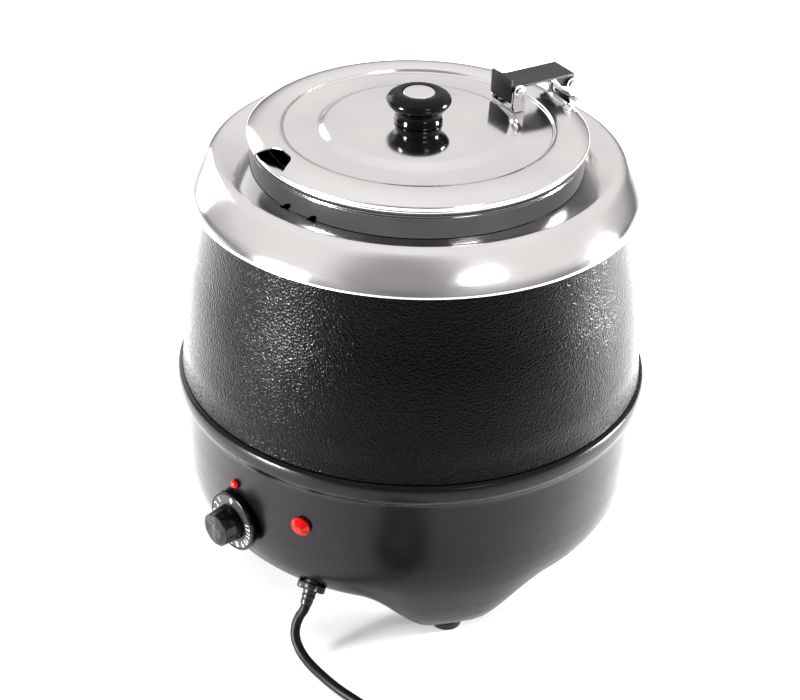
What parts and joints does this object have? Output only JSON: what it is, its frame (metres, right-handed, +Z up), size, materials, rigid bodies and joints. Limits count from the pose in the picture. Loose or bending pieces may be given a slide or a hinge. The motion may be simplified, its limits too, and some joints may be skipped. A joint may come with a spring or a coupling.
{
  "type": "soup kettle",
  "caption": "Wet-heat soup kettle: barrel body on a lobed black base with a control knob and lamps, steel ring, lift-out pot and a hinged lid with a ladle notch.",
  "frame": {"origin": "middle of the footprint of the kettle with its control knob, on the surface it stands on; the cord is left out", "axes": "+Z up; -Y towards the ladle notch in the lid, +Y towards the lid hinge; the control knob is 12.5 degrees round from -Y towards +X"},
  "size_m": [0.5144, 0.4528, 0.3733],
  "materials": {
    "polished_steel": "polished stainless steel",
    "plain_steel": "plain or zinc-plated steel",
    "textured_black": "black leather-grain coating, half gloss",
    "satin_black": "smooth satin black moulding",
    "hinge_black": "black coated steel",
    "knob_black": "black phenolic, half gloss",
    "rubber_black": "black rubber",
    "cord_black": "black cord sheath and plug moulding",
    "red_lens": "clear red lens",
    "aluminium": "mill-finish aluminium",
    "white_ceramic": "white ceramic or thermoset",
    "silicone_grey": "grey silicone",
    "brass": "plain brass and copper"
  },
  "bodies": {
    "kettle": {"top_ring": "polished_steel", "upper_shell": "textured_black", "ring_gasket": "silicone_grey", "water_well": "plain_steel", "base_shell": "satin_black", "base_plate": "plain_steel", "foot_1": "rubber_black", "foot_2": "rubber_black", "foot_3": "rubber_black", "foot_screw_1": "plain_steel", "foot_screw_2": "plain_steel", "foot_screw_3": "plain_steel", "plate_screw_1": "plain_steel", "plate_screw_2": "plain_steel", "plate_screw_3": "plain_steel", "shell_screw_1": "plain_steel", "shell_screw_2": "plain_steel", "shell_screw_3": "plain_steel", "element_plate": "aluminium", "heating_element": "plain_steel", "element_clamp": "plain_steel", "clamp_nut": "plain_steel", "heat_shield": "aluminium", "centre_stud": "plain_steel", "plate_nut": "plain_steel", "thermostat_body": "white_ceramic", "thermostat_bracket": "plain_steel", "sensor_bulb": "brass", "capillary_tube": "brass", "thermal_cutout": "knob_black", "index_lamp": "red_lens", "power_lamp_lens": "red_lens", "power_lamp_body": "white_ceramic", "lamp_nut": "plain_steel", "terminal_block": "white_ceramic", "earth_stud": "brass", "cord_gland": "rubber_black", "power_cord": "cord_black", "cord_coil": "cord_black", "coil_tie": "rubber_black", "cord_tail": "cord_black", "plug_body": "cord_black", "plug_pin_1": "plain_steel", "plug_pin_2": "plain_steel"},
    "control": {"control_knob": "knob_black", "thermostat_shaft": "plain_steel"},
    "pot": {"soup_pot": "polished_steel", "rear_bracket": "polished_steel", "collar_rivet_1": "plain_steel", "collar_rivet_2": "plain_steel", "rear_pin": "polished_steel"},
    "arm": {"hinge_arm": "hinge_black", "front_pin": "polished_steel"},
    "lid": {"lid": "polished_steel", "lid_knob": "knob_black", "knob_cap": "polished_steel", "knob_screw": "plain_steel", "lid_bracket": "polished_steel", "lid_rivet_1": "plain_steel", "lid_rivet_2": "plain_steel"}
  },
  "joints": [
    {"name": "pot_lift", "type": "slide", "parent": "kettle", "child": "pot", "axis": [0, 0, 1], "range_m": [0, 0.25]},
    {"name": "lid_open", "type": "hinge", "parent": "pot", "child": "arm", "pos_m": [0, 0.12783, 0.3583], "axis": [-1, 0, 0], "range_deg": [0, 100]},
    {"name": "lid_tilt", "type": "hinge", "parent": "arm", "child": "lid", "pos_m": [0, 0.08133, 0.3618], "axis": [-1, 0, 0], "range_deg": [-6, 0]},
    {"name": "control_turn", "type": "hinge", "parent": "kettle", "child": "control", "pos_m": [0.03896, -0.1699, 0.09], "axis": [0.2164, -0.9763, 0], "range_deg": [0, 300]}
  ],
  "couplings": [
    {"joint": "lid_tilt", "follows": "lid_open", "ratio": -0.06}
  ]
}
